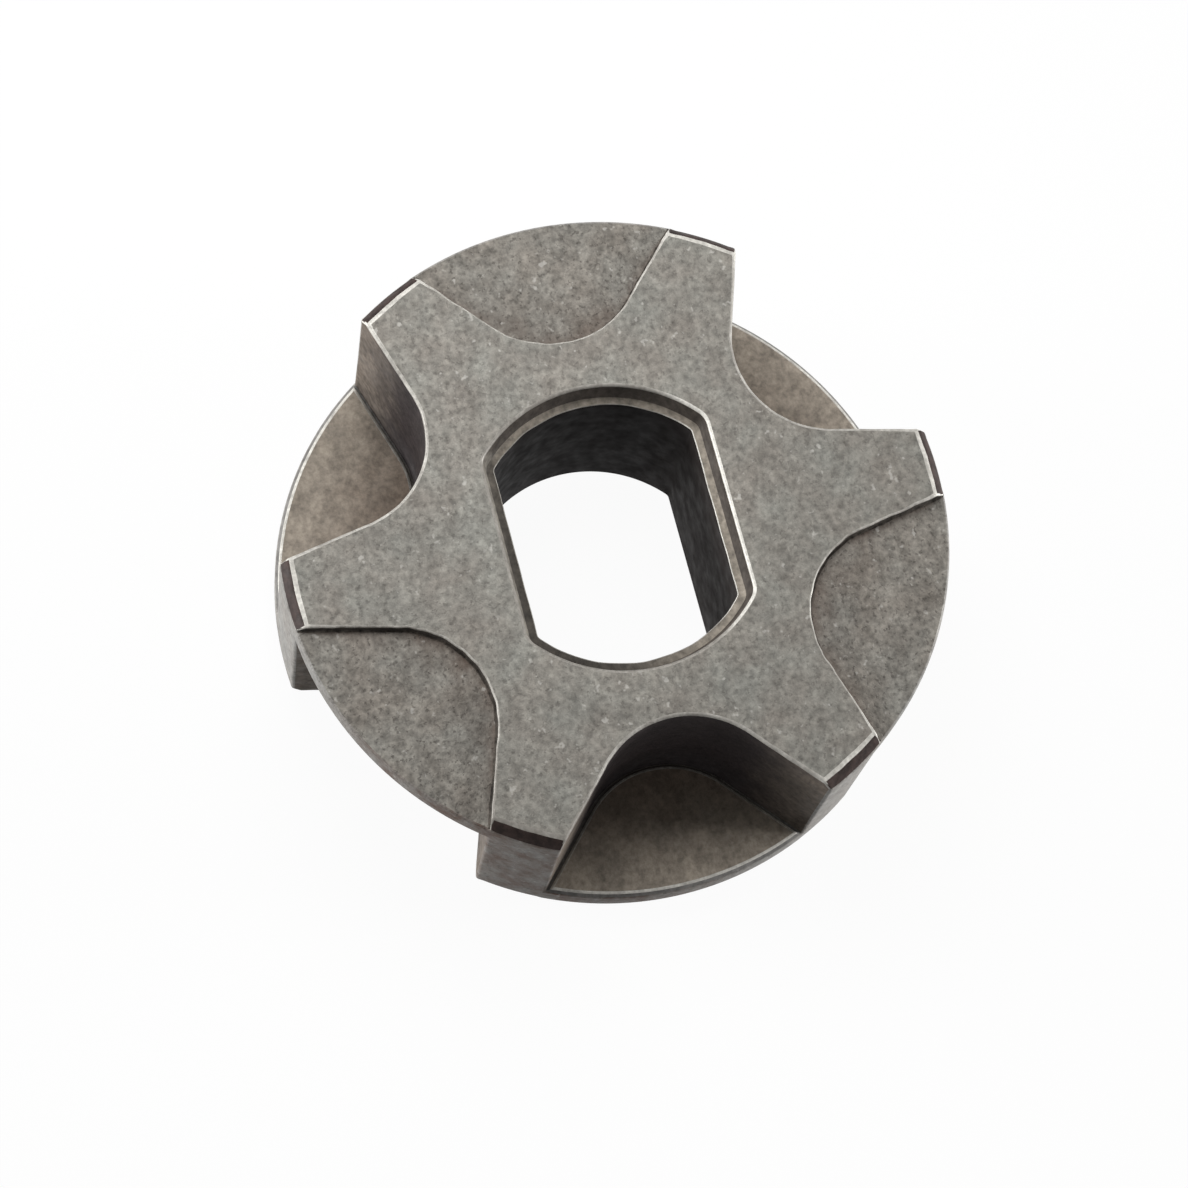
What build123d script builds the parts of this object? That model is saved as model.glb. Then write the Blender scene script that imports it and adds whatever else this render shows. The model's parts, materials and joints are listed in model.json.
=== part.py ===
from build123d import *
from math import cos, radians, sin, tan
import os

# Drive sprocket of a small chain saw, pressed from steel powder and sintered as one piece.
# Z runs along the bore and the lower star face lies on Z = 0.
# A bay that is open at the top lies on +X, and open ends alternate round the piece.
# Lengths are in millimetres and angles in degrees.

# Whole piece
outside_diameter = 29.0
thickness = 9.0
bay_pairs = 3
# Depth of the webs below the star face
face_relief = 0.4

# Teeth, and the bays between them that take the drive links of the chain
root_diameter = 17.5
gullet_radius = 4.15
flank_angle = 84.0
# Slope at each tooth tip: how far in it reaches, and how far down
tip_bevel = 0.4
tip_drop = 0.5
edge_round = 0.15

# Web that closes one end of each bay, with a slope along the edge of its floor
web_thickness = 1.25
floor_bevel = 0.2

# Double-D bore for the drive shaft, with a narrow land set into its upper mouth.
# The bevel is how far the wall above the land leans out over its depth.
bore_diameter = 11.8
bore_across_flats = 8.9
bore_corner_radius = 0.3
mouth_land = 0.35
mouth_bevel = 0.23
mouth_depth = 0.8

# How far each cut runs on past the surface that it opens
cut_overrun = 1.0

os.makedirs("parts", exist_ok=True)

# Levels and radii that follow from the sizes above
outer_radius = outside_diameter / 2
face_radius = outer_radius - tip_bevel
floor_level = face_relief + web_thickness
pocket_plane = Plane.XY.offset(floor_level - floor_bevel)
middle_plane = Plane.XY.offset(thickness / 2)
bay_pitch = 360 / (2 * bay_pairs)

# Outline of one bay on +X: two straight flanks, tangent to the round gullet between them
root_radius = root_diameter / 2
half_angle = radians(flank_angle / 2)
gullet_centre = root_radius + gullet_radius
tangent_x = gullet_centre - gullet_radius * sin(half_angle)
tangent_y = gullet_radius * cos(half_angle)
open_x = outer_radius + cut_overrun
open_y = tangent_y + (open_x - tangent_x) * tan(half_angle)

with BuildSketch() as bay_outline:
    with BuildLine():
        Line((open_x, open_y), (tangent_x, tangent_y))
        ThreePointArc((tangent_x, tangent_y), (root_radius, 0), (tangent_x, -tangent_y))
        Line((tangent_x, -tangent_y), (open_x, -open_y))
        Line((open_x, -open_y), (open_x, open_y))
    make_face()

# Everything taken out of the blank at a bay that is open at the top
with BuildPart() as upward_bay:
    # Deep pocket above the web
    with BuildSketch(pocket_plane):
        add(bay_outline.sketch)
    extrude(amount=thickness - floor_level + floor_bevel + cut_overrun)
    # Floor of the pocket: a low pad that slopes away along its whole edge
    with BuildSketch(pocket_plane):
        add(bay_outline.sketch)
        Circle(outer_radius, mode=Mode.INTERSECT)
    extrude(amount=floor_bevel, taper=45, mode=Mode.SUBTRACT)
    # Shallow relief below the web
    with BuildSketch(Plane.XY.offset(-cut_overrun)):
        add(bay_outline.sketch)
    extrude(amount=cut_overrun + face_relief)

# The same bay turned over, open at the bottom
downward_bay = mirror(upward_bay.part, about=middle_plane)

# Double-D outline with rounded corners, its flats parallel to X
with BuildSketch() as bore_outline:
    Circle(bore_diameter / 2)
    Rectangle(bore_diameter, bore_across_flats, mode=Mode.INTERSECT)
    fillet(bore_outline.vertices(), radius=bore_corner_radius)

with BuildPart() as drive_sprocket:
    # Blank: a disc that slopes away from each face to the rim
    with BuildSketch(Plane.XZ):
        with BuildLine():
            Polyline(
                (0, 0),
                (face_radius, 0),
                (outer_radius, tip_drop),
                (outer_radius, thickness - tip_drop),
                (face_radius, thickness),
                (0, thickness),
                close=True,
            )
        make_face()
    revolve(axis=Axis.Z)

    # Bays, open at the top and at the bottom by turns
    with PolarLocations(0, bay_pairs):
        add(upward_bay.part, mode=Mode.SUBTRACT)
    with PolarLocations(0, bay_pairs, start_angle=bay_pitch):
        add(downward_bay, mode=Mode.SUBTRACT)

    # Drive bore
    with BuildSketch():
        add(bore_outline.sketch)
    extrude(amount=thickness, mode=Mode.SUBTRACT)

    # Upper mouth: a narrow flat land round the bore, then a steep wall up to the star face
    land_plane = Plane.XY.offset(thickness - mouth_depth)
    with BuildSketch(land_plane):
        add(bore_outline.sketch)
        offset(amount=mouth_land)
    with BuildSketch(land_plane.offset(mouth_depth)):
        add(bore_outline.sketch)
        offset(amount=mouth_land + mouth_bevel)
    loft(ruled=True, mode=Mode.SUBTRACT)

    # Rounded edge along each bay on both star faces; the tooth tips keep their bevel
    for lowest_or_highest in (0, -1):
        star_face = drive_sprocket.faces().sort_by(Axis.Z)[lowest_or_highest]
        star_edges = star_face.outer_wire().edges()
        tip_edges = star_edges.filter_by(GeomType.CIRCLE).filter_by(lambda edge: edge.radius > root_radius)
        fillet(star_edges - tip_edges, radius=edge_round)

drive_sprocket.part.label = "drive_sprocket"
export_step(drive_sprocket.part, "parts/drive_sprocket.step")
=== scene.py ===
# %% [markdown]
# A chain saw drive sprocket, about as wide as a large coin. It looks pressed from steel powder in a
# die and then sintered, as one piece with no joints. A star of six teeth stands slightly proud on
# both faces, and the bays between the teeth are closed by a thin web, at the top and at the bottom
# in turn, a shape that an upper and a lower punch can press and then leave.
# The CAD model gives the place and the size. It is loaded first and never moved.

# %% Load the CAD model
import json
from math import atan2, cos, degrees, hypot, pi, radians, sin, sqrt

import bmesh
import bpy
from mathutils import Matrix, Vector, noise as perlin

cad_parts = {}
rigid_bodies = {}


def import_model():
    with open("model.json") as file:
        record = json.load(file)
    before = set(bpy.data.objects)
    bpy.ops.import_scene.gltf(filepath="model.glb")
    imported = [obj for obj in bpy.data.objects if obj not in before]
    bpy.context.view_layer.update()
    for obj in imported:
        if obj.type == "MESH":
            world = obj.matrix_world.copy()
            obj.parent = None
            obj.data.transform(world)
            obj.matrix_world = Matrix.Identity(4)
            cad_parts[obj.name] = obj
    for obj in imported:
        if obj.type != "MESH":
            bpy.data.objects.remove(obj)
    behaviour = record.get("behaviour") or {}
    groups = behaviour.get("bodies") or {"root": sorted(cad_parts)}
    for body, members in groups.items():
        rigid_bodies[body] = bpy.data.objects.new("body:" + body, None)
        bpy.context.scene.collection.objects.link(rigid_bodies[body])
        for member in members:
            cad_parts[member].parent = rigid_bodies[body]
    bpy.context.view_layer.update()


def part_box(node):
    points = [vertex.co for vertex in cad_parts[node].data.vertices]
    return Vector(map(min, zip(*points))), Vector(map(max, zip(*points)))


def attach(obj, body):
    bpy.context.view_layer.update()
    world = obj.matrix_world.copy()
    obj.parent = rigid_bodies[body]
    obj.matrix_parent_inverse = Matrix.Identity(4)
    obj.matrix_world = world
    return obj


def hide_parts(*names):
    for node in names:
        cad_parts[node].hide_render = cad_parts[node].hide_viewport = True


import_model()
low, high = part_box("drive_sprocket")
MM = 0.001
print("CAD box, mm:", [round((b - a) / MM, 3) for a, b in zip(low, high)])

# %% [markdown]
# Working in millimetres keeps the numbers readable, and it keeps the small edge rounds far from
# the distances at which Blender's operators treat two points as one. The finished mesh is scaled
# to metres once, at the end. The outer radius and the thickness come from the CAD box.

# %% Sizes of the sprocket, in millimetres
outer_radius = (high.x - low.x) / 2 / MM
thickness = (high.z - low.z) / MM
middle = thickness / 2
bay_pitch = radians(60)
face_relief = 0.4
root_radius = 8.75
gullet_radius = 4.15
gullet_centre = root_radius + gullet_radius
flank_half_angle = radians(42)
tip_bevel = 0.4
tip_drop = 0.5
face_radius = outer_radius - tip_bevel
rim_top = thickness - face_relief
web_thickness = 1.25
floor_bevel = 0.2
web_underside = rim_top - web_thickness
print("outer radius", round(outer_radius, 3), "thickness", round(thickness, 3))

# %% [markdown]
# Everything outside the bore grows from one line: half of the outline of a bay. It starts at the
# bottom of the gullet, follows the gullet arc, and leaves it on a straight flank towards the tooth
# tip. A spin of one vertex puts its points exactly on the arc, and an extruded vertex gives the
# flank. A rounded corner made with a bevel would only come near that arc. The same line, drawn a
# little inside the first, is used again for the raised floor of the pockets.

# %% Draw half of a bay outline
Z_AXIS = Vector((0, 0, 1))
GULLET_STEPS = 24
FLANK_STEPS = 16
flank_direction = Vector((cos(flank_half_angle), sin(flank_half_angle), 0))


def length_to_radius(point, radius):
    """Distance along the flank from a point to a given distance from the bore axis."""
    along = point.dot(flank_direction)
    return sqrt(along ** 2 - point.length_squared + radius ** 2) - along


def run_along_flank(mesh, vertex, radius, steps):
    """Extrude a vertex along the flank to a radius, in equal steps."""
    stride = flank_direction * (length_to_radius(vertex.co, radius) / steps)
    for _ in range(steps):
        vertex = bmesh.ops.extrude_vert_indiv(mesh, verts=[vertex])["verts"][0]
        bmesh.ops.translate(mesh, verts=[vertex], vec=stride)
    return vertex


def half_bay_line(mesh, inset, radius, steps):
    """Gullet and flank, moved into the bay by inset. Returns the vertex at the outer end."""
    arc_radius = gullet_radius - inset
    root = mesh.verts.new((gullet_centre - arc_radius, 0, 0))
    arc = bmesh.ops.spin(mesh, geom=[root], cent=(gullet_centre, 0, 0), axis=Z_AXIS,
                         angle=flank_half_angle - pi / 2, steps=GULLET_STEPS)
    tangent = [item for item in arc["geom_last"] if isinstance(item, bmesh.types.BMVert)][0]
    return run_along_flank(mesh, tangent, radius, steps)


# %% [markdown]
# The star outline: the line turns along the tooth tip to the middle of the tooth, and is mirrored.
# That is one sixth of the star, and five turned copies close it. Drawing a twelfth and repeating
# it makes all six teeth exactly alike.

# %% Draw the star outline
TIP_STEPS = 5
TURNED_COPIES = 5
MERGE = 0.002


def polar_angle(point):
    """Angle of a point round the bore axis."""
    return atan2(point.y, point.x)


def all_geometry(mesh):
    """Every vertex, edge and face of a bmesh, as operators take them."""
    return mesh.verts[:] + mesh.edges[:] + mesh.faces[:]


def draw_star_outline():
    """A closed line round all six teeth, on Z = 0."""
    mesh = bmesh.new()
    corner = half_bay_line(mesh, 0, outer_radius, FLANK_STEPS)
    bmesh.ops.spin(mesh, geom=[corner], cent=(0, 0, 0), axis=Z_AXIS,
                   angle=bay_pitch / 2 - polar_angle(corner.co), steps=TIP_STEPS)
    bmesh.ops.mirror(mesh, geom=all_geometry(mesh), axis="Y", merge_dist=MERGE)
    bmesh.ops.spin(mesh, geom=all_geometry(mesh), cent=(0, 0, 0), axis=Z_AXIS,
                   angle=TURNED_COPIES * bay_pitch, steps=TURNED_COPIES, use_duplicate=True)
    bmesh.ops.remove_doubles(mesh, verts=mesh.verts[:], dist=MERGE)
    return mesh


body = draw_star_outline()
print("star outline:", len(body.verts), "vertices,", len(body.edges), "edges")

# %% [markdown]
# Only the upper half is modelled. Turned half a turn about the Y axis it becomes the lower half,
# because every bay that is open at the top stands opposite one that is open at the bottom.
# The outline rises from the middle plane in two bands, and the upper band is as thick as a web is
# along its edge.

# %% Raise the tooth walls
def raise_edges(mesh, edges, level):
    """Extrude edges straight up to a level, and return the new edges."""
    new = bmesh.ops.extrude_edge_only(mesh, edges=edges)["geom"]
    for vertex in [g for g in new if isinstance(g, bmesh.types.BMVert)]:
        vertex.co.z = level
    return [g for g in new if isinstance(g, bmesh.types.BMEdge)]


pad_base = web_underside + floor_bevel
bmesh.ops.translate(body, verts=body.verts[:], vec=Z_AXIS * middle)
lower_rim = raise_edges(body, body.edges[:], pad_base)
raise_edges(body, lower_rim, rim_top)
print("tooth walls:", len(body.faces), "faces")

# %% [markdown]
# The webs of the bays that are closed at the top. The upper band of wall in such a bay is extruded
# as a region, and its new vertices are laid on the outer circle at even angles from flank to flank.
# That gives the top, the underside and the rim of the web at once, joined to both teeth.

# %% Close three bays with webs
closed_bays = [bay_pitch, 3 * bay_pitch, 5 * bay_pitch]
flank_foot = Vector((gullet_centre - gullet_radius * sin(flank_half_angle),
                     gullet_radius * cos(flank_half_angle), 0))


def flank_point(radius):
    """Point where the flank of the bay on +X reaches a distance from the bore axis."""
    return flank_foot + flank_direction * length_to_radius(flank_foot, radius)


def turn_from(angle, centre):
    """Angle measured from a centre line, between minus and plus half a turn."""
    return (angle - centre + pi) % (2 * pi) - pi


def reach(vertex):
    """Distance of a vertex from the bore axis."""
    return hypot(vertex.co.x, vertex.co.y)


def wall_band(mesh, bay_angle):
    """Faces of the upper band of wall in one bay, without the tooth tips."""
    band = []
    for face in mesh.faces:
        point = face.calc_center_median()
        in_bay = abs(turn_from(polar_angle(point), bay_angle)) < bay_pitch / 2
        on_flank = min(reach(v) for v in face.verts) < outer_radius - MERGE
        if point.z > pad_base and in_bay and on_flank:
            band.append(face)
    return band


def close_bay(mesh, bay_angle):
    """Grow a web from the wall band of one bay out to the rim."""
    band = wall_band(mesh, bay_angle)
    new = bmesh.ops.extrude_face_region(mesh, geom=band)["geom"]
    bmesh.ops.delete(mesh, geom=[f for f in band if f.is_valid], context="FACES")
    half_angle = polar_angle(flank_point(outer_radius))
    for level in (pad_base, rim_top):
        row = [g for g in new if isinstance(g, bmesh.types.BMVert) and abs(g.co.z - level) < MERGE]
        row.sort(key=lambda v: turn_from(polar_angle(v.co), bay_angle))
        for place_in_row, vertex in enumerate(row):
            angle = bay_angle + half_angle * (2 * place_in_row / (len(row) - 1) - 1)
            vertex.co.x = outer_radius * cos(angle)
            vertex.co.y = outer_radius * sin(angle)
    bmesh.ops.remove_doubles(mesh, verts=mesh.verts[:], dist=MERGE)
    return len(band)


for bay_angle in closed_bays:
    grown_from = close_bay(body, bay_angle)
    print("web at", round(degrees(bay_angle)), "degrees grown from", grown_from, "faces")

# %% [markdown]
# The star rises from the level of the webs to its face. The tips lean back on the way up, which
# gives each tooth the dark sloped band at its end. The tip arcs are laid on a smaller radius
# between the same two flanks, and the flanks are shortened to match, so all walls stay straight.
# A bevel could cut the slope too, but this way sets its two radii and its two heights directly. The
# foot of the slope lies a little below the webs.

# %% Raise the star face
def edges_at(mesh, level):
    """Edges that lie flat at a level."""
    return [e for e in mesh.edges if all(abs(v.co.z - level) < MERGE for v in e.verts)]


def tip_half_angle(radius):
    """Half of the angle that a tooth tip spans at a radius."""
    return bay_pitch / 2 - polar_angle(flank_point(radius))


def off_tooth(point):
    """Angle between a point and the middle of the nearest tooth."""
    return abs((polar_angle(point) / bay_pitch) % 1 - 0.5) * bay_pitch


def slide_tip(vertices, radius):
    """Lay vertices of a tip arc on another radius, between the same two flanks."""
    for vertex in vertices:
        angle = polar_angle(vertex.co)
        tooth = (round(angle / bay_pitch - 0.5) + 0.5) * bay_pitch
        spread = tip_half_angle(radius) / tip_half_angle(reach(vertex))
        angle = tooth + (angle - tooth) * spread
        vertex.co.x = radius * cos(angle)
        vertex.co.y = radius * sin(angle)


def draw_flank_back(vertices, ratio):
    """Shorten the straight flanks of a line towards their gullets."""
    for vertex in vertices:
        bay = round(polar_angle(vertex.co) / bay_pitch) * bay_pitch
        local = Matrix.Rotation(-bay, 3, "Z") @ vertex.co
        foot = Vector((flank_foot.x, flank_foot.y if local.y > 0 else -flank_foot.y, local.z))
        if local.x > foot.x:
            vertex.co = Matrix.Rotation(bay, 3, "Z") @ foot.lerp(local, ratio)


def on_tip(vertex, radius):
    """Whether a vertex lies on a tip arc of a radius, between its two corners."""
    return reach(vertex) > radius - MERGE and off_tooth(vertex.co) < tip_half_angle(radius) - MERGE


star_line = [e for e in edges_at(body, rim_top) if len(e.link_faces) == 1]
tip_feet = [v for v in {v for e in star_line for v in e.verts} if on_tip(v, outer_radius)]
face_line = raise_edges(body, star_line, thickness)
face_rim = list({v for e in face_line for v in e.verts})
tip_arcs = [v for v in face_rim if on_tip(v, outer_radius)]
flank_rows = [v for v in face_rim if v not in tip_arcs]
slide_tip(tip_arcs, face_radius)
full_flank = length_to_radius(flank_foot, outer_radius)
draw_flank_back(flank_rows, length_to_radius(flank_foot, face_radius) / full_flank)
bmesh.ops.translate(body, verts=tip_feet, vec=Z_AXIS * (face_relief - tip_drop))
print("star face line:", len(face_line), "edges at", round(thickness, 3), "mm")

# %% [markdown]
# The floor of a pocket is a flat pad with a sloped edge, seen here from below as the underside of a
# web. The pad's outline is the bay line drawn once more, a little inside the bay, and closed along
# the rim. It has as many vertices as the web's own edge, so bridging the two lines makes an even
# row of quads. The pad itself is filled with triangles, and an inset gives it a narrow margin, so
# that its edge can be rounded without crossing them.

# %% Make the pocket floors
def absorb(mesh, other):
    """Copy another bmesh into a mesh, free the copy, and return the loose edges it brought."""
    carrier = bpy.data.meshes.new("carrier")
    other.to_mesh(carrier)
    other.free()
    mesh.from_mesh(carrier)
    bpy.data.meshes.remove(carrier)
    return [e for e in mesh.edges if e.is_wire]


def draw_pad_outline():
    """A closed line for the flat floor of the bay on +X."""
    pad = bmesh.new()
    corner = half_bay_line(pad, floor_bevel, outer_radius - floor_bevel, FLANK_STEPS)
    bmesh.ops.spin(pad, geom=[corner], cent=(0, 0, 0), axis=Z_AXIS,
                   angle=-polar_angle(corner.co), steps=GULLET_STEPS + FLANK_STEPS)
    bmesh.ops.mirror(pad, geom=all_geometry(pad), axis="Y", merge_dist=MERGE)
    bmesh.ops.remove_doubles(pad, verts=pad.verts[:], dist=MERGE)
    return pad


def fill_flat(mesh, line, normal, margin):
    """Fill a flat outline with triangles, and give the fill a margin of quads."""
    filled = bmesh.ops.triangle_fill(mesh, edges=line, normal=normal, use_beauty=True)["geom"]
    faces = [g for g in filled if isinstance(g, bmesh.types.BMFace)]
    bmesh.ops.inset_region(mesh, faces=faces, thickness=margin)


PAD_MARGIN = 0.1
strips = [f for f in body.faces if all(abs(v.co.z - pad_base) < MERGE for v in f.verts)]
bmesh.ops.delete(body, geom=strips, context="FACES")
for bay_angle in closed_bays:
    pad = draw_pad_outline()
    bmesh.ops.rotate(pad, verts=pad.verts[:], cent=(0, 0, 0),
                     matrix=Matrix.Rotation(bay_angle, 3, "Z"))
    bmesh.ops.translate(pad, verts=pad.verts[:], vec=Z_AXIS * web_underside)
    pad_line = absorb(body, pad)
    web_line = [e for e in edges_at(body, pad_base) if len(e.link_faces) == 1 and abs(
        turn_from(polar_angle(e.verts[0].co + e.verts[1].co), bay_angle)) < bay_pitch / 2]
    slope = bmesh.ops.bridge_loops(body, edges=web_line + pad_line)
    fill_flat(body, pad_line, -Z_AXIS, PAD_MARGIN)
    print("pocket floor at", round(degrees(bay_angle)), "degrees:", len(web_line), "to",
          len(pad_line), "edges,", len(slope["faces"]), "slope faces")

# %% [markdown]
# The edges of the real piece are not as straight as drawn ones, as if powder had broken away along
# them in small flakes. Smooth noise from Blender's own library moves the edge lines of the star
# sideways by a few hundredths of a millimetre, and most where a low step stands on a web. Real
# geometry is used and not a bump in the material, because a bump can't bend an outline. Blender
# seeds this noise from the clock, so a seed is set first, and every run gives the same edges.

# %% Roughen the star edges
def shake(vertices, amount, pitch):
    """Move vertices sideways by smooth noise with so many waves to the millimetre."""
    for vertex in vertices:
        drift = perlin.noise_vector(vertex.co * pitch)
        vertex.co.x += amount * drift.x
        vertex.co.y += amount * drift.y
    print("shook", len(vertices), "vertices by up to", amount, "mm")


def in_closed_bay(point):
    """Whether a point lies in the sixth of the piece that a web closes at the top."""
    return round(polar_angle(point) / bay_pitch) % 2 == 1


STEP_SHAKE, STEP_WAVES = 0.05, 1.9
FLANK_SHAKE, FLANK_WAVES = 0.02, 1.8
TIP_SHAKE, TIP_WAVES = 0.04, 1.6
STILL_CORNER = 0.3
EDGE_SEED = 7
perlin.seed_set(EDGE_SEED)
star_edge = [v for v in body.verts
             if v.co.z > rim_top - MERGE and reach(v) < face_radius - STILL_CORNER]
shake([v for v in star_edge if in_closed_bay(v.co)], STEP_SHAKE, STEP_WAVES)
shake([v for v in star_edge if not in_closed_bay(v.co)], FLANK_SHAKE, FLANK_WAVES)
shake(tip_arcs, TIP_SHAKE, TIP_WAVES)

# %% [markdown]
# Now the lower half: a copy of the upper half, turned half a turn about the Y axis through the
# middle of the piece. A mirror would close three bays at both ends and leave the other three open
# at both. The two halves meet on the middle plane, where merging doubles welds them.

# %% Add the lower half
copy = bmesh.ops.duplicate(body, geom=all_geometry(body))["geom"]
copied = [g for g in copy if isinstance(g, bmesh.types.BMVert)]
bmesh.ops.rotate(body, verts=copied, cent=(0, 0, middle), matrix=Matrix.Rotation(pi, 3, "Y"))
bmesh.ops.remove_doubles(body, verts=body.verts[:], dist=MERGE)
print("both halves:", len(body.faces), "faces")

# %% [markdown]
# The bore is a round hole with two flats, which takes the drive shaft. A quarter of its outline is a
# run of edges for the flat, a spin for the small corner and a spin for the arc, and two mirrors
# close it. Every line round the bore is the same one with all its radii grown by an offset, so
# the centres of the arcs stay where they are.

# %% Draw the bore lines
bore_radius = 5.9
bore_half_flats = 4.45
bore_corner_radius = 0.3
FLAT_STEPS = 24
CORNER_STEPS = 6
ARC_STEPS = 24
corner_y = bore_half_flats - bore_corner_radius
corner_x = sqrt((bore_radius - bore_corner_radius) ** 2 - corner_y ** 2)
corner_angle = atan2(corner_y, corner_x)


def draw_bore_line(offset, level):
    """A closed line round the bore, moved outwards by offset, at a level."""
    line = bmesh.new()
    vertex = line.verts.new((0, bore_half_flats + offset, level))
    for _ in range(FLAT_STEPS):
        vertex = bmesh.ops.extrude_vert_indiv(line, verts=[vertex])["verts"][0]
        bmesh.ops.translate(line, verts=[vertex], vec=(corner_x / FLAT_STEPS, 0, 0))
    corner = bmesh.ops.spin(line, geom=[vertex], cent=(corner_x, corner_y, level), axis=Z_AXIS,
                            angle=corner_angle - pi / 2, steps=CORNER_STEPS)
    bmesh.ops.spin(line, geom=corner["geom_last"], cent=(0, 0, level), axis=Z_AXIS,
                   angle=-corner_angle, steps=ARC_STEPS)
    bmesh.ops.mirror(line, geom=all_geometry(line), axis="X", merge_dist=MERGE)
    bmesh.ops.mirror(line, geom=all_geometry(line), axis="Y", merge_dist=MERGE)
    bmesh.ops.remove_doubles(line, verts=line.verts[:], dist=MERGE)
    return line


# %% [markdown]
# A narrow land lies just inside the upper mouth, below a steep wall, and the lower mouth is plain.
# Five lines are bridged in turn: the lower mouth, a line just under the land, the inner and the
# outer edge of the land, and the upper mouth. The land rises very slightly outwards, so its two
# edges can be told apart by height. The inner one is ragged on the real piece, as if a thin flash
# had been trimmed from it, so it is shaken. The line under the land keeps that shake from running
# down the whole bore.

# %% Line the bore
mouth_land = 0.35
mouth_bevel = 0.23
mouth_depth = 0.8
land_level = thickness - mouth_depth
LAND_RISE = 0.01
LAND_SKIRT = 0.3
LAND_SHAKE, LAND_WAVES = 0.045, 0.9
bore_lines = [draw_bore_line(0, 0),
              draw_bore_line(0, land_level - LAND_SKIRT),
              draw_bore_line(0, land_level),
              draw_bore_line(mouth_land, land_level + LAND_RISE),
              draw_bore_line(mouth_land + mouth_bevel, thickness)]
inner_line = absorb(body, bore_lines[0])
for line in bore_lines[1:]:
    outer_line = [e for e in absorb(body, line) if e not in inner_line]
    band = bmesh.ops.bridge_loops(body, edges=inner_line + outer_line)["faces"]
    print("bore band:", len(band), "faces,", round(sum(f.calc_area() for f in band), 2), "square mm")
    inner_line = outer_line
land_edge = [v for v in body.verts
             if abs(v.co.z - land_level) < MERGE and reach(v) < bore_radius + MERGE]
shake(land_edge, LAND_SHAKE, LAND_WAVES)

# %% [markdown]
# Each star face is filled between the bore and the star line in the same way as the pads, with a
# margin that is wider than its widest rounded edge. A single face of a mesh can't have a hole in it,
# so triangles do the work.

# %% Close the star faces
STAR_MARGIN = 0.3
for level, normal in ((0, -Z_AXIS), (thickness, Z_AXIS)):
    face_line = [e for e in edges_at(body, level) if len(e.link_faces) == 1]
    fill_flat(body, face_line, normal, STAR_MARGIN)
    print("star face at", round(level, 1), "mm, inside", len(face_line), "edges")
bmesh.ops.recalc_face_normals(body, faces=body.faces[:])
open_edges = [e for e in body.edges if len(e.link_faces) != 2]
print("whole body:", len(body.faces), "faces,", len(open_edges), "open edges,",
      round(body.calc_volume(), 1), "cubic mm")

# %% [markdown]
# One piece of steel, but not one finish. The star faces are light and fine, the webs coarser, the
# pockets brown and, towards the gullets, darkened to black with painted shade, and the slopes at the
# tooth tips nearly black. Each face is named by where it lies and which way it looks, and that name
# picks its material slot, so no face has to be picked by hand or by its number. The large flat faces
# are also shaded flat, and all the others smooth. An inset gives every web a narrow strip at the foot
# of the step round it, which is painted dark as painted shade, and a number stored on the vertices of
# that strip lets that painted shade fade out across the web.

# %% Name the finish of every face
FINISHES = ["star_face", "web_face", "step_foot", "pocket_floor", "floor_slope", "pocket_wall",
            "step_wall", "tip_slope", "mouth_wall", "mouth_land", "bore_wall", "outer_wall",
            "worn_edge"]
# How far a normal points up or down on a level face, and on a slope
LEVEL = 0.9
SLOPED = 0.3
# Slack in depth and radius, so that shaken and curved faces are still found
FACE_SLACK = 0.01
RIM_SLACK = 0.05
BORE_SLACK = 0.5
bore_zone = bore_radius + mouth_land + mouth_bevel + BORE_SLACK


def on_low_step(point):
    """Whether a point of a bay wall lies on the low step above a web."""
    closed_at_this_end = in_closed_bay(point) == (point.z > middle)
    return closed_at_this_end and min(point.z, thickness - point.z) < face_relief


def finish_of(face):
    """The finish that a face of the plain body has."""
    point = face.calc_center_median()
    upright = abs(face.normal.z)
    radius = hypot(point.x, point.y)
    depth = min(point.z, thickness - point.z)
    if depth < FACE_SLACK and upright > LEVEL:
        return "star_face"
    if radius < bore_zone:
        if point.z < land_level - MERGE:
            return "bore_wall"
        return "mouth_land" if upright > LEVEL else "mouth_wall"
    if upright > LEVEL:
        return "pocket_floor" if depth > face_relief + MERGE else "web_face"
    if upright > SLOPED:
        return "tip_slope" if depth < tip_drop else "floor_slope"
    if radius > outer_radius - RIM_SLACK:
        return "outer_wall"
    return "step_wall" if on_low_step(point) else "pocket_wall"


FOOT_WIDTH = 0.1
webs = [f for f in body.faces if finish_of(f) == "web_face"]
bmesh.ops.inset_region(body, faces=webs, thickness=FOOT_WIDTH, use_boundary=True)
# A number on the vertices of the strip at the foot of a step, which drives painted shade there
foot_shade_layer = body.verts.layers.float.new("step_foot_shade")
named = {face: finish_of(face) for face in body.faces}
for face in [f for f in named if named[f] == "web_face"]:
    if any(named[beside] == "step_wall" for edge in face.edges for beside in edge.link_faces):
        named[face] = "step_foot"
        for vertex in face.verts:
            vertex[foot_shade_layer] = 1.0

FLAT_FINISHES = ("star_face", "web_face", "step_foot", "pocket_floor")
tally = {}
for face, name in named.items():
    face.material_index = FINISHES.index(name)
    face.smooth = name not in FLAT_FINISHES
    tally[name] = tally.get(name, 0) + 1
print("faces by finish:", tally)

# %% [markdown]
# No outer edge of the real piece looks sharp. The Bevel modifier rounds edges by their weight, so one
# pass can give the edges of the star a wide round and the small edges a narrow one, and the corners
# where they meet stay closed. The bevel operator would need one call for each width. The rounds get
# a slot of their own, because most edges are brighter than the faces beside them.

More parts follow.
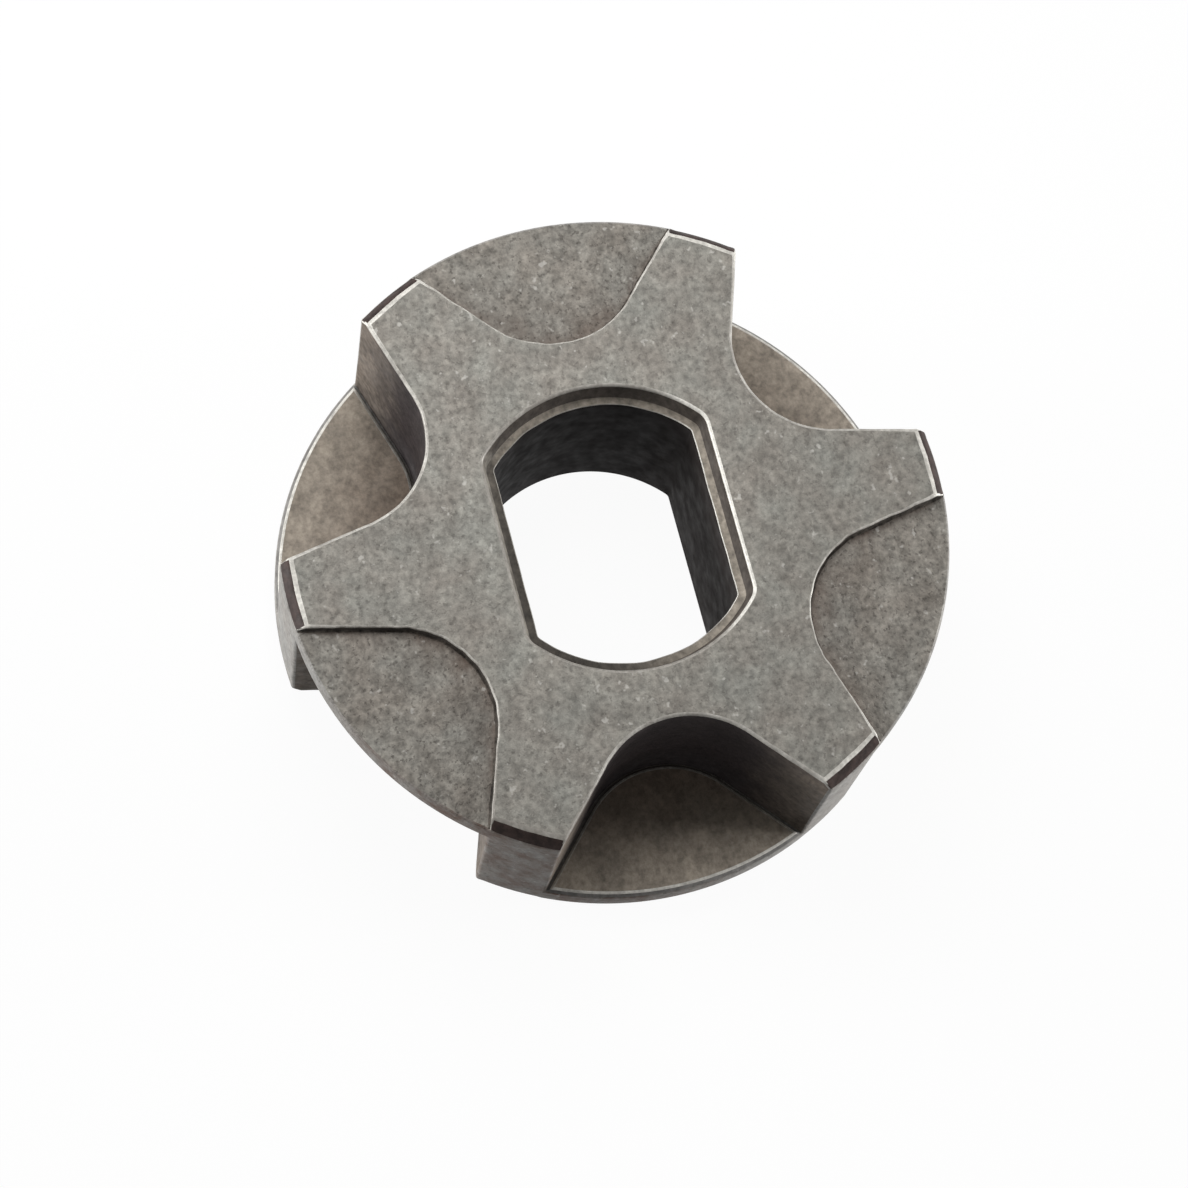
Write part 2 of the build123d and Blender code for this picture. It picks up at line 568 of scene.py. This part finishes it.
# %% Round the edges
WIDEST_ROUND = 0.25
ROUND_SEGMENTS = 4
SHARP = radians(20)
edge_rounds = {
    ("star_face", "tip_slope"): WIDEST_ROUND,
    ("pocket_wall", "star_face"): 0.13,
    ("mouth_wall", "star_face"): 0.11,
    ("pocket_wall", "tip_slope"): 0.12,
    ("outer_wall", "pocket_wall"): 0.12,
    ("floor_slope", "pocket_floor"): 0.07,
    ("outer_wall", "web_face"): 0.1,
    ("bore_wall", "star_face"): 0.1,
    ("star_face", "step_wall"): 0.08,
    ("outer_wall", "tip_slope"): 0.07,
    ("step_wall", "tip_slope"): 0.06,
    ("floor_slope", "outer_wall"): 0.05,
    ("bore_wall", "mouth_land"): 0.04,
}


def round_of(edge):
    """Width of the round along an edge, or 0 where the edge stays as it is."""
    if edge.calc_face_angle_signed() < SHARP:
        return 0
    names = sorted(FINISHES[f.material_index] for f in edge.link_faces)
    return edge_rounds.get(tuple(names), 0)


weight = body.edges.layers.float.new("bevel_weight_edge")
for edge in body.edges:
    edge[weight] = round_of(edge) / WIDEST_ROUND
blank_mesh = bpy.data.meshes.new("sprocket_blank")
body.to_mesh(blank_mesh)
body.free()
blank = bpy.data.objects.new("sprocket_blank", blank_mesh)
bpy.context.scene.collection.objects.link(blank)
for name in FINISHES:
    blank_mesh.materials.append(bpy.data.materials.new(name))
rounding = blank.modifiers.new("round edges", "BEVEL")
rounding.limit_method = "WEIGHT"
rounding.width = WIDEST_ROUND
rounding.segments = ROUND_SEGMENTS
rounding.profile = 0.5
rounding.material = FINISHES.index("worn_edge")
rounding.use_clamp_overlap = False
rounded = blank.evaluated_get(bpy.context.evaluated_depsgraph_get())
sprocket_mesh = bpy.data.meshes.new_from_object(rounded)
sprocket_mesh.name = "sprocket_body"
sprocket_mesh.transform(Matrix.Scale(MM, 4))
bpy.data.objects.remove(blank)
print("rounded body:", len(sprocket_mesh.polygons), "faces,",
      len(sprocket_mesh.materials), "finishes")

# %% [markdown]
# Two rounds are not bright on the real piece. The rims of the webs look like the outer wall below
# them, so they go back to its finish. At the tooth tips only the part of the round that looks up is
# bright, and the steeper part is as dark as the slope. Then the piece takes the place of the CAD
# node: the CAD node is hidden, and the piece rides on the same body.

# %% Put the piece in the frame
# How far the rounds of the web rims reach inwards and upwards, and how deep a dark tip round starts
RIM_ROUND = 0.11
RIM_RISE = 0.15
TIP_SKIN = 0.02
for polygon in sprocket_mesh.polygons:
    if polygon.material_index == FINISHES.index("worn_edge"):
        polygon.use_smooth = True
        spot = polygon.center / MM
        depth = min(spot.z, thickness - spot.z)
        radius = hypot(spot.x, spot.y)
        if radius > outer_radius - RIM_ROUND and depth > face_relief - RIM_RISE:
            polygon.material_index = FINISHES.index("outer_wall")
        elif off_tooth(spot) < tip_half_angle(outer_radius) and TIP_SKIN < depth < tip_drop:
            steep = radius > face_radius and abs(polygon.normal.z) < LEVEL
            polygon.material_index = FINISHES.index("tip_slope" if steep else "worn_edge")
sprocket = bpy.data.objects.new("sprocket_body", sprocket_mesh)
bpy.context.scene.collection.objects.link(sprocket)
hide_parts("drive_sprocket")
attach(sprocket, "root")
worn = sum(p.material_index == FINISHES.index("worn_edge") for p in sprocket_mesh.polygons)
print("worn edge faces:", worn, "of", len(sprocket_mesh.polygons))

# %% [markdown]
# The finishes are built from noise in Object coordinates, turned into millimetres first, so a scale
# of 5 means about five grains to the millimetre wherever the piece goes. A picture wrapped round the
# piece would need seams, and noise needs none. A small helper places a node and fills its sockets,
# with a value or with a link, which keeps each recipe short enough to read.

# %% Helpers for the finishes
# Most of Blender's noise lies between these two values
NOISE_LOW = 0.3
NOISE_HIGH = 0.7


def place(tree, kind, options=None, **sockets):
    """Add a node, set its options, and fill or link its sockets.

    A space in a socket's name is written as _, and i0, i1 and so on stand for a socket's number."""
    node = tree.nodes.new(kind)
    for key, value in (options or {}).items():
        setattr(node, key, value)
    for key, value in sockets.items():
        by_number = key[1:].isdigit()
        socket = node.inputs[int(key[1:]) if by_number else key.replace("_", " ")]
        if isinstance(value, bpy.types.NodeSocket):
            tree.links.new(value, socket)
        else:
            socket.default_value = value
    return node


def millimetres(tree):
    """Object coordinates, one unit to the millimetre."""
    coordinates = place(tree, "ShaderNodeTexCoord")
    return place(tree, "ShaderNodeVectorMath", {"operation": "SCALE"},
                 Vector=coordinates.outputs["Object"], Scale=1 / MM).outputs["Vector"]


def ramp(tree, value, start, end, low=0.0, high=1.0):
    """A number that goes from low to high while a value goes from start to end."""
    return place(tree, "ShaderNodeMapRange", Value=value, From_Min=start, From_Max=end, To_Min=low,
                 To_Max=high).outputs["Result"]


def noise(tree, where, scale, detail=2.0, low=0.0, high=1.0, rough=0.6):
    """Noise stretched so that most of it lies between two values."""
    grain = place(tree, "ShaderNodeTexNoise", Vector=where, Scale=scale, Detail=detail,
                  Roughness=rough)
    return ramp(tree, grain.outputs["Fac"], NOISE_LOW, NOISE_HIGH, low, high)


def tint(tree, colour, amount):
    """A colour made lighter or darker by an amount."""
    return place(tree, "ShaderNodeVectorMath", {"operation": "SCALE"}, i0=colour,
                 Scale=amount).outputs["Vector"]


def math(tree, operation, first, second=0.0):
    """One step of arithmetic on numbers."""
    return place(tree, "ShaderNodeMath", {"operation": operation}, i0=first,
                 i1=second).outputs["Value"]


def mix(tree, share, first, second):
    """A blend of two colours."""
    return place(tree, "ShaderNodeMix", {"data_type": "RGBA"}, i0=share, i6=first,
                 i7=second).outputs[2]


def start_finish(name, metal, gloss):
    """Empty a finish and return its node tree, its shader and its coordinates in millimetres."""
    steel = bpy.data.materials[name]
    steel.use_nodes = True
    tree = steel.node_tree
    tree.nodes.clear()
    shader = place(tree, "ShaderNodeBsdfPrincipled", Metallic=metal, Specular_IOR_Level=gloss)
    place(tree, "ShaderNodeOutputMaterial", Surface=shader.outputs["BSDF"])
    return tree, shader, millimetres(tree)


def wire(tree, shader, colour, roughness, height, depth):
    """Link a colour, a roughness and a bump of a depth in millimetres to a shader."""
    bump = place(tree, "ShaderNodeBump", Height=height, Distance=depth * MM)
    tree.links.new(colour, shader.inputs["Base Color"])
    tree.links.new(roughness, shader.inputs["Roughness"])
    tree.links.new(bump.outputs["Normal"], shader.inputs["Normal"])
    print("finish", shader.id_data.name, "has", len(tree.nodes), "nodes")


# %% [markdown]
# Powder grain. The pressed faces show a fine grain, dark pores, a few bright flecks and faint warm
# and cool patches. The faces differ in how coarse and how dark that skin is, so one recipe takes the
# two tints, the contrast of the grain and the amount of pores. The pores are cut out of noise at a
# level, because round dots from a cell pattern would look printed on. The same recipe can lighten a
# face round the bore mouth, as if it were worn there, paint shade on a web along the foot of its
# step, and paint brown, mottled shade on the side of the outer wall that faces away from the lamps.
# These follow places on the piece and not the view.

# %% Powder skin
PORE = (0.05, 0.043, 0.037, 1)
GLINT = (0.6, 0.58, 0.54, 1)
GLINT_SHARE = 0.45
# Brown for painted shade: mottled on the side of the outer wall that faces away from the lamps, and
# along the foot of the steps on the webs
SHADE_BROWN = (0.125, 0.085, 0.066, 1)
SHADED_SIDE_ANGLE = radians(330)
SHADED_SIDE = (cos(SHADED_SIDE_ANGLE), sin(SHADED_SIDE_ANGLE), 0)
SHADED_SIDE_START, SHADED_SIDE_FULL = 10.5, 13.5
RUBBED_RING = 1.5
STEP_SHADE_FALL = 5.0
POWDER_BUMP = 0.02
FINE_GRAIN = 3.3


def from_axis(tree, where):
    """Distance from the bore axis, in millimetres."""
    level = place(tree, "ShaderNodeVectorMath", {"operation": "MULTIPLY"}, i0=where, i1=(1, 1, 0))
    return place(tree, "ShaderNodeVectorMath", {"operation": "LENGTH"},
                 i0=level.outputs["Vector"]).outputs["Value"]


def off_flats(tree, where):
    """Distance to either side of the plane halfway between the bore's flats, in millimetres."""
    axes = place(tree, "ShaderNodeSeparateXYZ", Vector=where)
    return math(tree, "ABSOLUTE", axes.outputs["Y"])


def from_bore_mouth(tree, where):
    """Distance outwards from the line of the bore mouth, in millimetres."""
    grown = mouth_land + mouth_bevel
    past_flat = math(tree, "SUBTRACT", off_flats(tree, where), bore_half_flats + grown)
    past_arc = math(tree, "SUBTRACT", from_axis(tree, where), bore_radius + grown)
    return math(tree, "MAXIMUM", past_flat, past_arc)


def shaded_side_reach(tree, where):
    """0 away from the side of the piece that faces away from the lamps, 1 at its outer wall there; it
    places painted shade.
    """
    side = place(tree, "ShaderNodeVectorMath", {"operation": "DOT_PRODUCT"}, i0=where,
                 i1=SHADED_SIDE)
    return ramp(tree, side.outputs["Value"], SHADED_SIDE_START, SHADED_SIDE_FULL)


def flecks(tree, where, scale, start, full):
    """Irregular flecks: 0 where noise is at the first value, 1 at the second and past it."""
    grain = place(tree, "ShaderNodeTexNoise", Vector=where, Scale=scale, Detail=2.0, Roughness=0.6)
    return ramp(tree, grain.outputs["Fac"], start, full)


def powder_skin(name, warm, cool, contrast, pores, roughness, metal, gloss, lightened=0.0,
                side_shade=0.0, step_shade=0.0):
    """Grain, pores, flecks and patches on a pressed face, which can be lighter round the bore mouth
    where it is worn, and can take painted shade on one side or along its steps.
    """
    tree, shader, where = start_finish(name, metal, gloss)
    hue = mix(tree, noise(tree, where, scale=0.45), (*warm, 1), (*cool, 1))
    fine = noise(tree, where, scale=FINE_GRAIN, detail=3.0, low=1 - contrast, high=1 + contrast,
                 rough=0.7)
    soft = 0.45 * contrast
    clouds = noise(tree, where, scale=0.9, low=1 - soft, high=1 + soft)
    grained = tint(tree, hue, math(tree, "MULTIPLY", fine, clouds))
    if lightened:
        ring = ramp(tree, from_bore_mouth(tree, where), 0.0, RUBBED_RING, 1 + lightened, 1.0)
        grained = tint(tree, grained, ring)
    # Painted shade, brown and mottled, on the side of the outer wall that faces away from the lamps
    if side_shade:
        reached = math(tree, "MULTIPLY", shaded_side_reach(tree, where), side_shade)
        blotches = noise(tree, where, scale=0.9, detail=3.0, low=-0.1, high=1.3)
        patchy = math(tree, "MULTIPLY", reached, blotches)
        grained = mix(tree, patchy, grained, SHADE_BROWN)
    # Painted shade along the foot of the steps on a web, fading out across it
    if step_shade:
        stored = place(tree, "ShaderNodeAttribute", {"attribute_name": "step_foot_shade"})
        near_step = math(tree, "POWER", stored.outputs["Fac"], STEP_SHADE_FALL)
        fading = math(tree, "MULTIPLY", near_step, step_shade)
        blotches = noise(tree, where, scale=0.8, detail=3.0, low=0.2, high=1.0)
        patchy = math(tree, "MULTIPLY", fading, blotches)
        grained = mix(tree, patchy, grained, SHADE_BROWN)
    pits = flecks(tree, where, scale=4.3, start=0.42, full=0.33)
    pore = math(tree, "MULTIPLY", pits, pores)
    sparks = flecks(tree, where, scale=2.4, start=0.66, full=0.74)
    glint = math(tree, "MULTIPLY", sparks, GLINT_SHARE)
    colour = mix(tree, glint, mix(tree, pore, grained, PORE), GLINT)
    rough = noise(tree, where, scale=3.0, low=roughness - 0.08, high=roughness + 0.08)
    wire(tree, shader, colour, rough, math(tree, "SUBTRACT", fine, pore), POWDER_BUMP)


powder_skin("star_face", warm=(0.232, 0.213, 0.187), cool=(0.214, 0.21, 0.188), contrast=0.36,
            pores=0.35, roughness=0.55, metal=0.12, gloss=0.2, lightened=0.12)
powder_skin("web_face", warm=(0.221, 0.199, 0.172), cool=(0.206, 0.198, 0.177), contrast=0.44,
            pores=0.55, roughness=0.65, metal=0.1, gloss=0.2, step_shade=0.75)

# %% [markdown]
# The pockets. Walls and floors are grey to tan near the rim and turn brown, and on the walls nearly
# black, towards the root of a tooth. The brown is the piece's own oily tint, and the darkening
# towards the narrow, deep gullets is painted shade. The distance from the bore axis drives that
# change, because it is the same on every tooth and in every view. A painted map could do the same,
# but the piece would have to be unwrapped first.

# %% Pocket walls and floors
GRADED_BUMP = 0.01


def graded_skin(name, near, far, start, end, contrast, roughness, gloss, distance=from_axis):
    """A pressed face that goes from one colour to another between two distances."""
    tree, shader, where = start_finish(name, metal=0.0, gloss=gloss)
    wander = noise(tree, where, scale=0.7, detail=3.0, low=-0.6, high=0.6)
    ragged = math(tree, "ADD", distance(tree, where), wander)
    share = place(tree, "ShaderNodeMapRange", {"interpolation_type": "SMOOTHSTEP"}, Value=ragged,
                  From_Min=start, From_Max=end).outputs["Result"]
    hue = mix(tree, share, (*near, 1), (*far, 1))
    fine = noise(tree, where, scale=FINE_GRAIN, detail=3.0, low=1 - contrast, high=1 + contrast)
    soft = 0.6 * contrast
    clouds = noise(tree, where, scale=0.8, low=1 - soft, high=1 + soft)
    rough = noise(tree, where, scale=1.5, low=roughness - 0.1, high=roughness + 0.1)
    grained = tint(tree, hue, math(tree, "MULTIPLY", fine, clouds))
    wire(tree, shader, grained, rough, fine, GRADED_BUMP)


# Darker towards the gullets: the steel's own brown, with painted shade, on floors, floor slopes and
# walls
graded_skin("pocket_floor", near=(0.187, 0.146, 0.114), far=(0.305, 0.264, 0.217),
           start=8.8, end=14.0, contrast=0.32, roughness=0.6, gloss=0.15)
graded_skin("floor_slope", near=(0.08, 0.07, 0.06), far=(0.19, 0.183, 0.174),
           start=8.8, end=13.5, contrast=0.3, roughness=0.6, gloss=0.15)
graded_skin("pocket_wall", near=(0.028, 0.0225, 0.0225), far=(0.168, 0.14, 0.115),
           start=10.6, end=14.9, contrast=0.35, roughness=0.6, gloss=0.1)
# The step walls and the strip at their foot are painted dark: painted shade along the low steps
graded_skin("step_wall", near=(0.05, 0.043, 0.037), far=(0.05, 0.044, 0.038),
           start=8.0, end=14.5, contrast=0.5, roughness=0.6, gloss=0.15)
graded_skin("step_foot", near=(0.075, 0.063, 0.053), far=(0.1, 0.088, 0.075),
           start=8.0, end=14.5, contrast=0.75, roughness=0.65, gloss=0.15)

# %% [markdown]
# The slopes at the tooth tips are dark brown. The bore is nearly black, its own dark oxide deepened
# by painted shade, and painted lighter towards the flat on +Y as painted light. The land and the wall
# of the bore mouth change along the mouth: the land is brownish, painted light at the flat on +Y
# where a lamp reaches it and painted dark at the flat on -Y as painted shade, and the wall is painted
# lightest at the flat on -Y, which faces a lamp, as painted light. Two measures of where a point lies
# round the bore drive these changes, in the same recipe as for the pockets. The outer wall has the
# powder skin, with less contrast than the faces.

# %% Slopes, bore and outer wall
LIT_SLANT = 2.2
SHADED_START, SHADED_FULL, SHADED_DROP = 4.2, 4.5, 6.0
TIP_BROWN = (0.038, 0.026, 0.023)


def to_shaded_flat(tree, where):
    """Distance from the middle of the bore towards the flat on -Y, in millimetres."""
    axes = place(tree, "ShaderNodeSeparateXYZ", Vector=where)
    return math(tree, "MULTIPLY", axes.outputs["Y"], -1.0)


# This measure places the painted light and shade round the bore mouth, lightest at the flat on +Y
def to_lit_flat(tree, where):
    """A measure that grows towards -X, faster towards the flat on +Y, and drops at the one on -Y."""
    axes = place(tree, "ShaderNodeSeparateXYZ", Vector=where)
    backwards = math(tree, "MULTIPLY", axes.outputs["X"], -1.0)
    sideways = math(tree, "MULTIPLY", axes.outputs["Y"], LIT_SLANT)
    grown = math(tree, "MAXIMUM", backwards, sideways)
    drop = ramp(tree, to_shaded_flat(tree, where), SHADED_START, SHADED_FULL, high=SHADED_DROP)
    return math(tree, "SUBTRACT", grown, drop)


# The wall is painted lighter at the flat on -Y, which faces a lamp: painted light
graded_skin("mouth_wall", near=(0.078, 0.067, 0.058), far=(0.24, 0.222, 0.192), start=3.8, end=5.4,
           contrast=0.35, roughness=0.55, gloss=0.1, distance=to_shaded_flat)
graded_skin("tip_slope", near=TIP_BROWN, far=TIP_BROWN, start=12.0, end=14.5,
           contrast=0.5, roughness=0.5, gloss=0.12)
# The land's brown is its own; it is painted lighter where a lamp reaches it and darker at the flat on
# -Y, as painted light and shade
graded_skin("mouth_land", near=(0.05, 0.044, 0.037), far=(0.28, 0.247, 0.205), start=-6.0, end=10.0,
           contrast=0.4, roughness=0.55, gloss=0.15, distance=to_lit_flat)
# The bore: its own dark oxide with painted shade, painted lighter towards the flat on +Y as painted
# light
graded_skin("bore_wall", near=(0.014, 0.012, 0.012), far=(0.032, 0.026, 0.024), start=5.0, end=11.0,
           contrast=0.1, roughness=0.65, gloss=0.04, distance=to_lit_flat)
powder_skin("outer_wall", warm=(0.3, 0.28, 0.258), cool=(0.282, 0.275, 0.26), contrast=0.28,
            pores=0.35, roughness=0.55, metal=0.06, gloss=0.12, side_shade=0.9)

# %% [markdown]
# Worn edges. Most edges are brighter than the faces, but not evenly: noise along an edge moves the
# finish between the colour of the faces and bare bright metal. The tooth tips have the brightest
# edges, as if they were worn on the chain. The edge of the bore mouth carries a painted highlight at
# the flat on +Y, which faces a lamp, and is painted dull elsewhere, as painted shade. The tip on the
# side that faces away from the lamps is the exception, and its edge at the upper face is painted
# dull, as painted shade.

# %% Worn edges, with painted highlight and shade
TIP_RUB = 0.45
# Painted highlight on the bore mouth's edge at the flat on +Y, and painted shade on it elsewhere
# round the mouth
FLAT_HIGHLIGHT = 0.8
MOUTH_SHADE = -0.35
# Painted shade on the upper tip edge on the side that faces away from the lamps
SHADED_SIDE_EDGE = 0.75
EDGE_BUMP = 0.01


def rubbed_and_lit_edge(name, dull, bright):
    """Edges worn bright in places, with a painted highlight and painted shade round the bore mouth
    and on one side.
    """
    tree, shader, where = start_finish(name, metal=0.12, gloss=0.25)
    at_tip = ramp(tree, from_axis(tree, where), start=13.0, end=14.0, high=TIP_RUB)
    at_mouth = ramp(tree, from_bore_mouth(tree, where), start=0.3, end=0.6, low=1.0, high=0.0)
    at_lit_flat = ramp(tree, to_lit_flat(tree, where), start=6.0, end=10.0, low=MOUTH_SHADE,
                   high=FLAT_HIGHLIGHT)
    height = place(tree, "ShaderNodeSeparateXYZ", Vector=where).outputs["Z"]
    on_top = ramp(tree, height, start=7.0, end=8.0, high=SHADED_SIDE_EDGE)
    rub_and_highlight = math(tree, "ADD", at_tip, math(tree, "MULTIPLY", at_mouth, at_lit_flat))
    edge_shade = math(tree, "MULTIPLY", shaded_side_reach(tree, where), on_top)
    patches = noise(tree, where, scale=1.2, detail=3.0, high=0.6)
    lightened = math(tree, "ADD", patches, math(tree, "SUBTRACT", rub_and_highlight, edge_shade))
    fine = noise(tree, where, scale=5.0, low=0.8, high=1.2)
    hue = mix(tree, lightened, (*dull, 1), (*bright, 1))
    rough = noise(tree, where, scale=2.0, low=0.35, high=0.5)
    wire(tree, shader, tint(tree, hue, fine), rough, fine, EDGE_BUMP)


rubbed_and_lit_edge("worn_edge", dull=(0.26, 0.243, 0.218), bright=(0.66, 0.64, 0.59))

# %% [markdown]
# The studio. The sprocket lies on a sheet of white paper that runs on into a white backdrop. Paper
# lit evenly enough to come out white would also flood the part with light from below, so the sheet
# is grey for the light that it sends back, and near white, with a glow, only for rays that go
# straight to the camera or come off a shiny face. The Light Path node tells these rays apart. The
# glow falls short of white, so the part keeps a faint shadow.

# %% Floor
PAPER_GREY = (0.42, 0.42, 0.42, 1)
PAPER_WHITE = (0.95, 0.95, 0.95, 1)
PAPER_GLOW = 0.95
FLOOR_GAP = 0.0002
FLOOR_SIZE = 2.0


def shows_backdrop(tree):
    """1 for rays that show the backdrop itself, 0 for those that only carry its light."""
    path = place(tree, "ShaderNodeLightPath")
    direct = math(tree, "MAXIMUM", path.outputs["Is Camera Ray"], path.outputs["Is Glossy Ray"])
    return math(tree, "MAXIMUM", direct, path.outputs["Is Transmission Ray"])


sheet = bmesh.new()
bmesh.ops.create_grid(sheet, x_segments=1, y_segments=1, size=FLOOR_SIZE)
bmesh.ops.translate(sheet, verts=sheet.verts[:], vec=(0, 0, -FLOOR_GAP))
floor_mesh = bpy.data.meshes.new("studio_floor")
sheet.to_mesh(floor_mesh)
sheet.free()
floor = bpy.data.objects.new("studio_floor", floor_mesh)
bpy.context.scene.collection.objects.link(floor)
paper = bpy.data.materials.new("studio_paper")
floor_mesh.materials.append(paper)
paper.use_nodes = True
tree = paper.node_tree
tree.nodes.clear()
shown = shows_backdrop(tree)
lit = place(tree, "ShaderNodeBsdfDiffuse", Color=mix(tree, shown, PAPER_GREY, PAPER_WHITE))
glow = place(tree, "ShaderNodeEmission", Strength=1.0)
share = math(tree, "MULTIPLY", shown, PAPER_GLOW)
sheet_shader = place(tree, "ShaderNodeMixShader", i0=share, i1=lit.outputs["BSDF"],
                     i2=glow.outputs["Emission"])
place(tree, "ShaderNodeOutputMaterial", Surface=sheet_shader.outputs["Shader"])
print("floor laid", FLOOR_GAP / MM, "mm under the part")

# %% [markdown]
# The room beyond the paper. It is white to look at and dim as a source of light, so that the lamps
# shape the teeth and the room only fills their shadows a little.

# %% World
ROOM_LIGHT = 0.12
world = bpy.data.worlds.new("studio")
bpy.context.scene.world = world
world.use_nodes = True
tree = world.node_tree
tree.nodes.clear()
strength = ramp(tree, shows_backdrop(tree), 0.0, 1.0, ROOM_LIGHT, 1.0)
room = place(tree, "ShaderNodeBackground", Color=(1, 1, 1, 1), Strength=strength)
place(tree, "ShaderNodeOutputWorld", Surface=room.outputs["Background"])
print("room light:", ROOM_LIGHT)

# %% [markdown]
# Three soft boxes. The key hangs close above the far side, so the faces grow darker towards the
# camera and the pockets on the near side lie in shadow. A low one on each side grazes the outer
# walls and draws bright lines along the worn edges that look its way. One large lamp overhead would
# be simpler, but it would light the pockets too and leave the teeth flat.

# %% Lamps
def add_softbox(name, azimuth, elevation, distance, size, power):
    """A square area lamp that looks at the middle of the sprocket. Angles are in degrees."""
    lamp = bpy.data.lights.new(name, "AREA")
    lamp.shape = "SQUARE"
    lamp.size = size
    lamp.energy = power
    box = bpy.data.objects.new(name, lamp)
    bpy.context.scene.collection.objects.link(box)
    turn, rise = radians(azimuth), radians(elevation)
    away = Vector((cos(turn) * cos(rise), sin(turn) * cos(rise), sin(rise)))
    box.location = Vector((0, 0, middle * MM)) + away * distance
    box.rotation_euler = away.to_track_quat("Z", "Y").to_euler()
    print(name, "at", [round(c, 3) for c in box.location], "m,", power, "W")


add_softbox("key_softbox", azimuth=188, elevation=58, distance=0.072, size=0.05, power=0.038)
add_softbox("left_softbox", azimuth=248, elevation=8, distance=0.2, size=0.08, power=0.44)
add_softbox("right_softbox", azimuth=80, elevation=8, distance=0.2, size=0.08, power=0.5)

# %% [markdown]
# The camera stands about where the photo was taken from. Its place, its turn and its focal length
# were fitted so that the corners of the teeth and the mouth of the bore fall where the photo has
# them. It looks down steeply from one side, so it sees into the pockets that are open at the top.

# %% Camera
stand = Vector((0.041916, -0.026134, 0.136579))
aim = Vector((0.001381, -0.000926, 0.0045))
roll = radians(18.395)
camera_data = bpy.data.cameras.new("photo_camera")
camera_data.sensor_width = 36
camera_data.lens = 97.0
camera_data.clip_start = 0.01
camera = bpy.data.objects.new("photo_camera", camera_data)
bpy.context.scene.collection.objects.link(camera)
bpy.context.scene.camera = camera
look = (stand - aim).to_track_quat("Z", "Y").to_matrix().to_4x4()
camera.matrix_world = Matrix.Translation(stand) @ look @ Matrix.Rotation(roll, 4, "Z")
print("camera", round((stand - aim).length, 4), "m from the part")

# %% [markdown]
# Last, the plain view transform, so that colours come out as they were set.

# %% Finish
bpy.context.scene.view_settings.view_transform = "Standard"
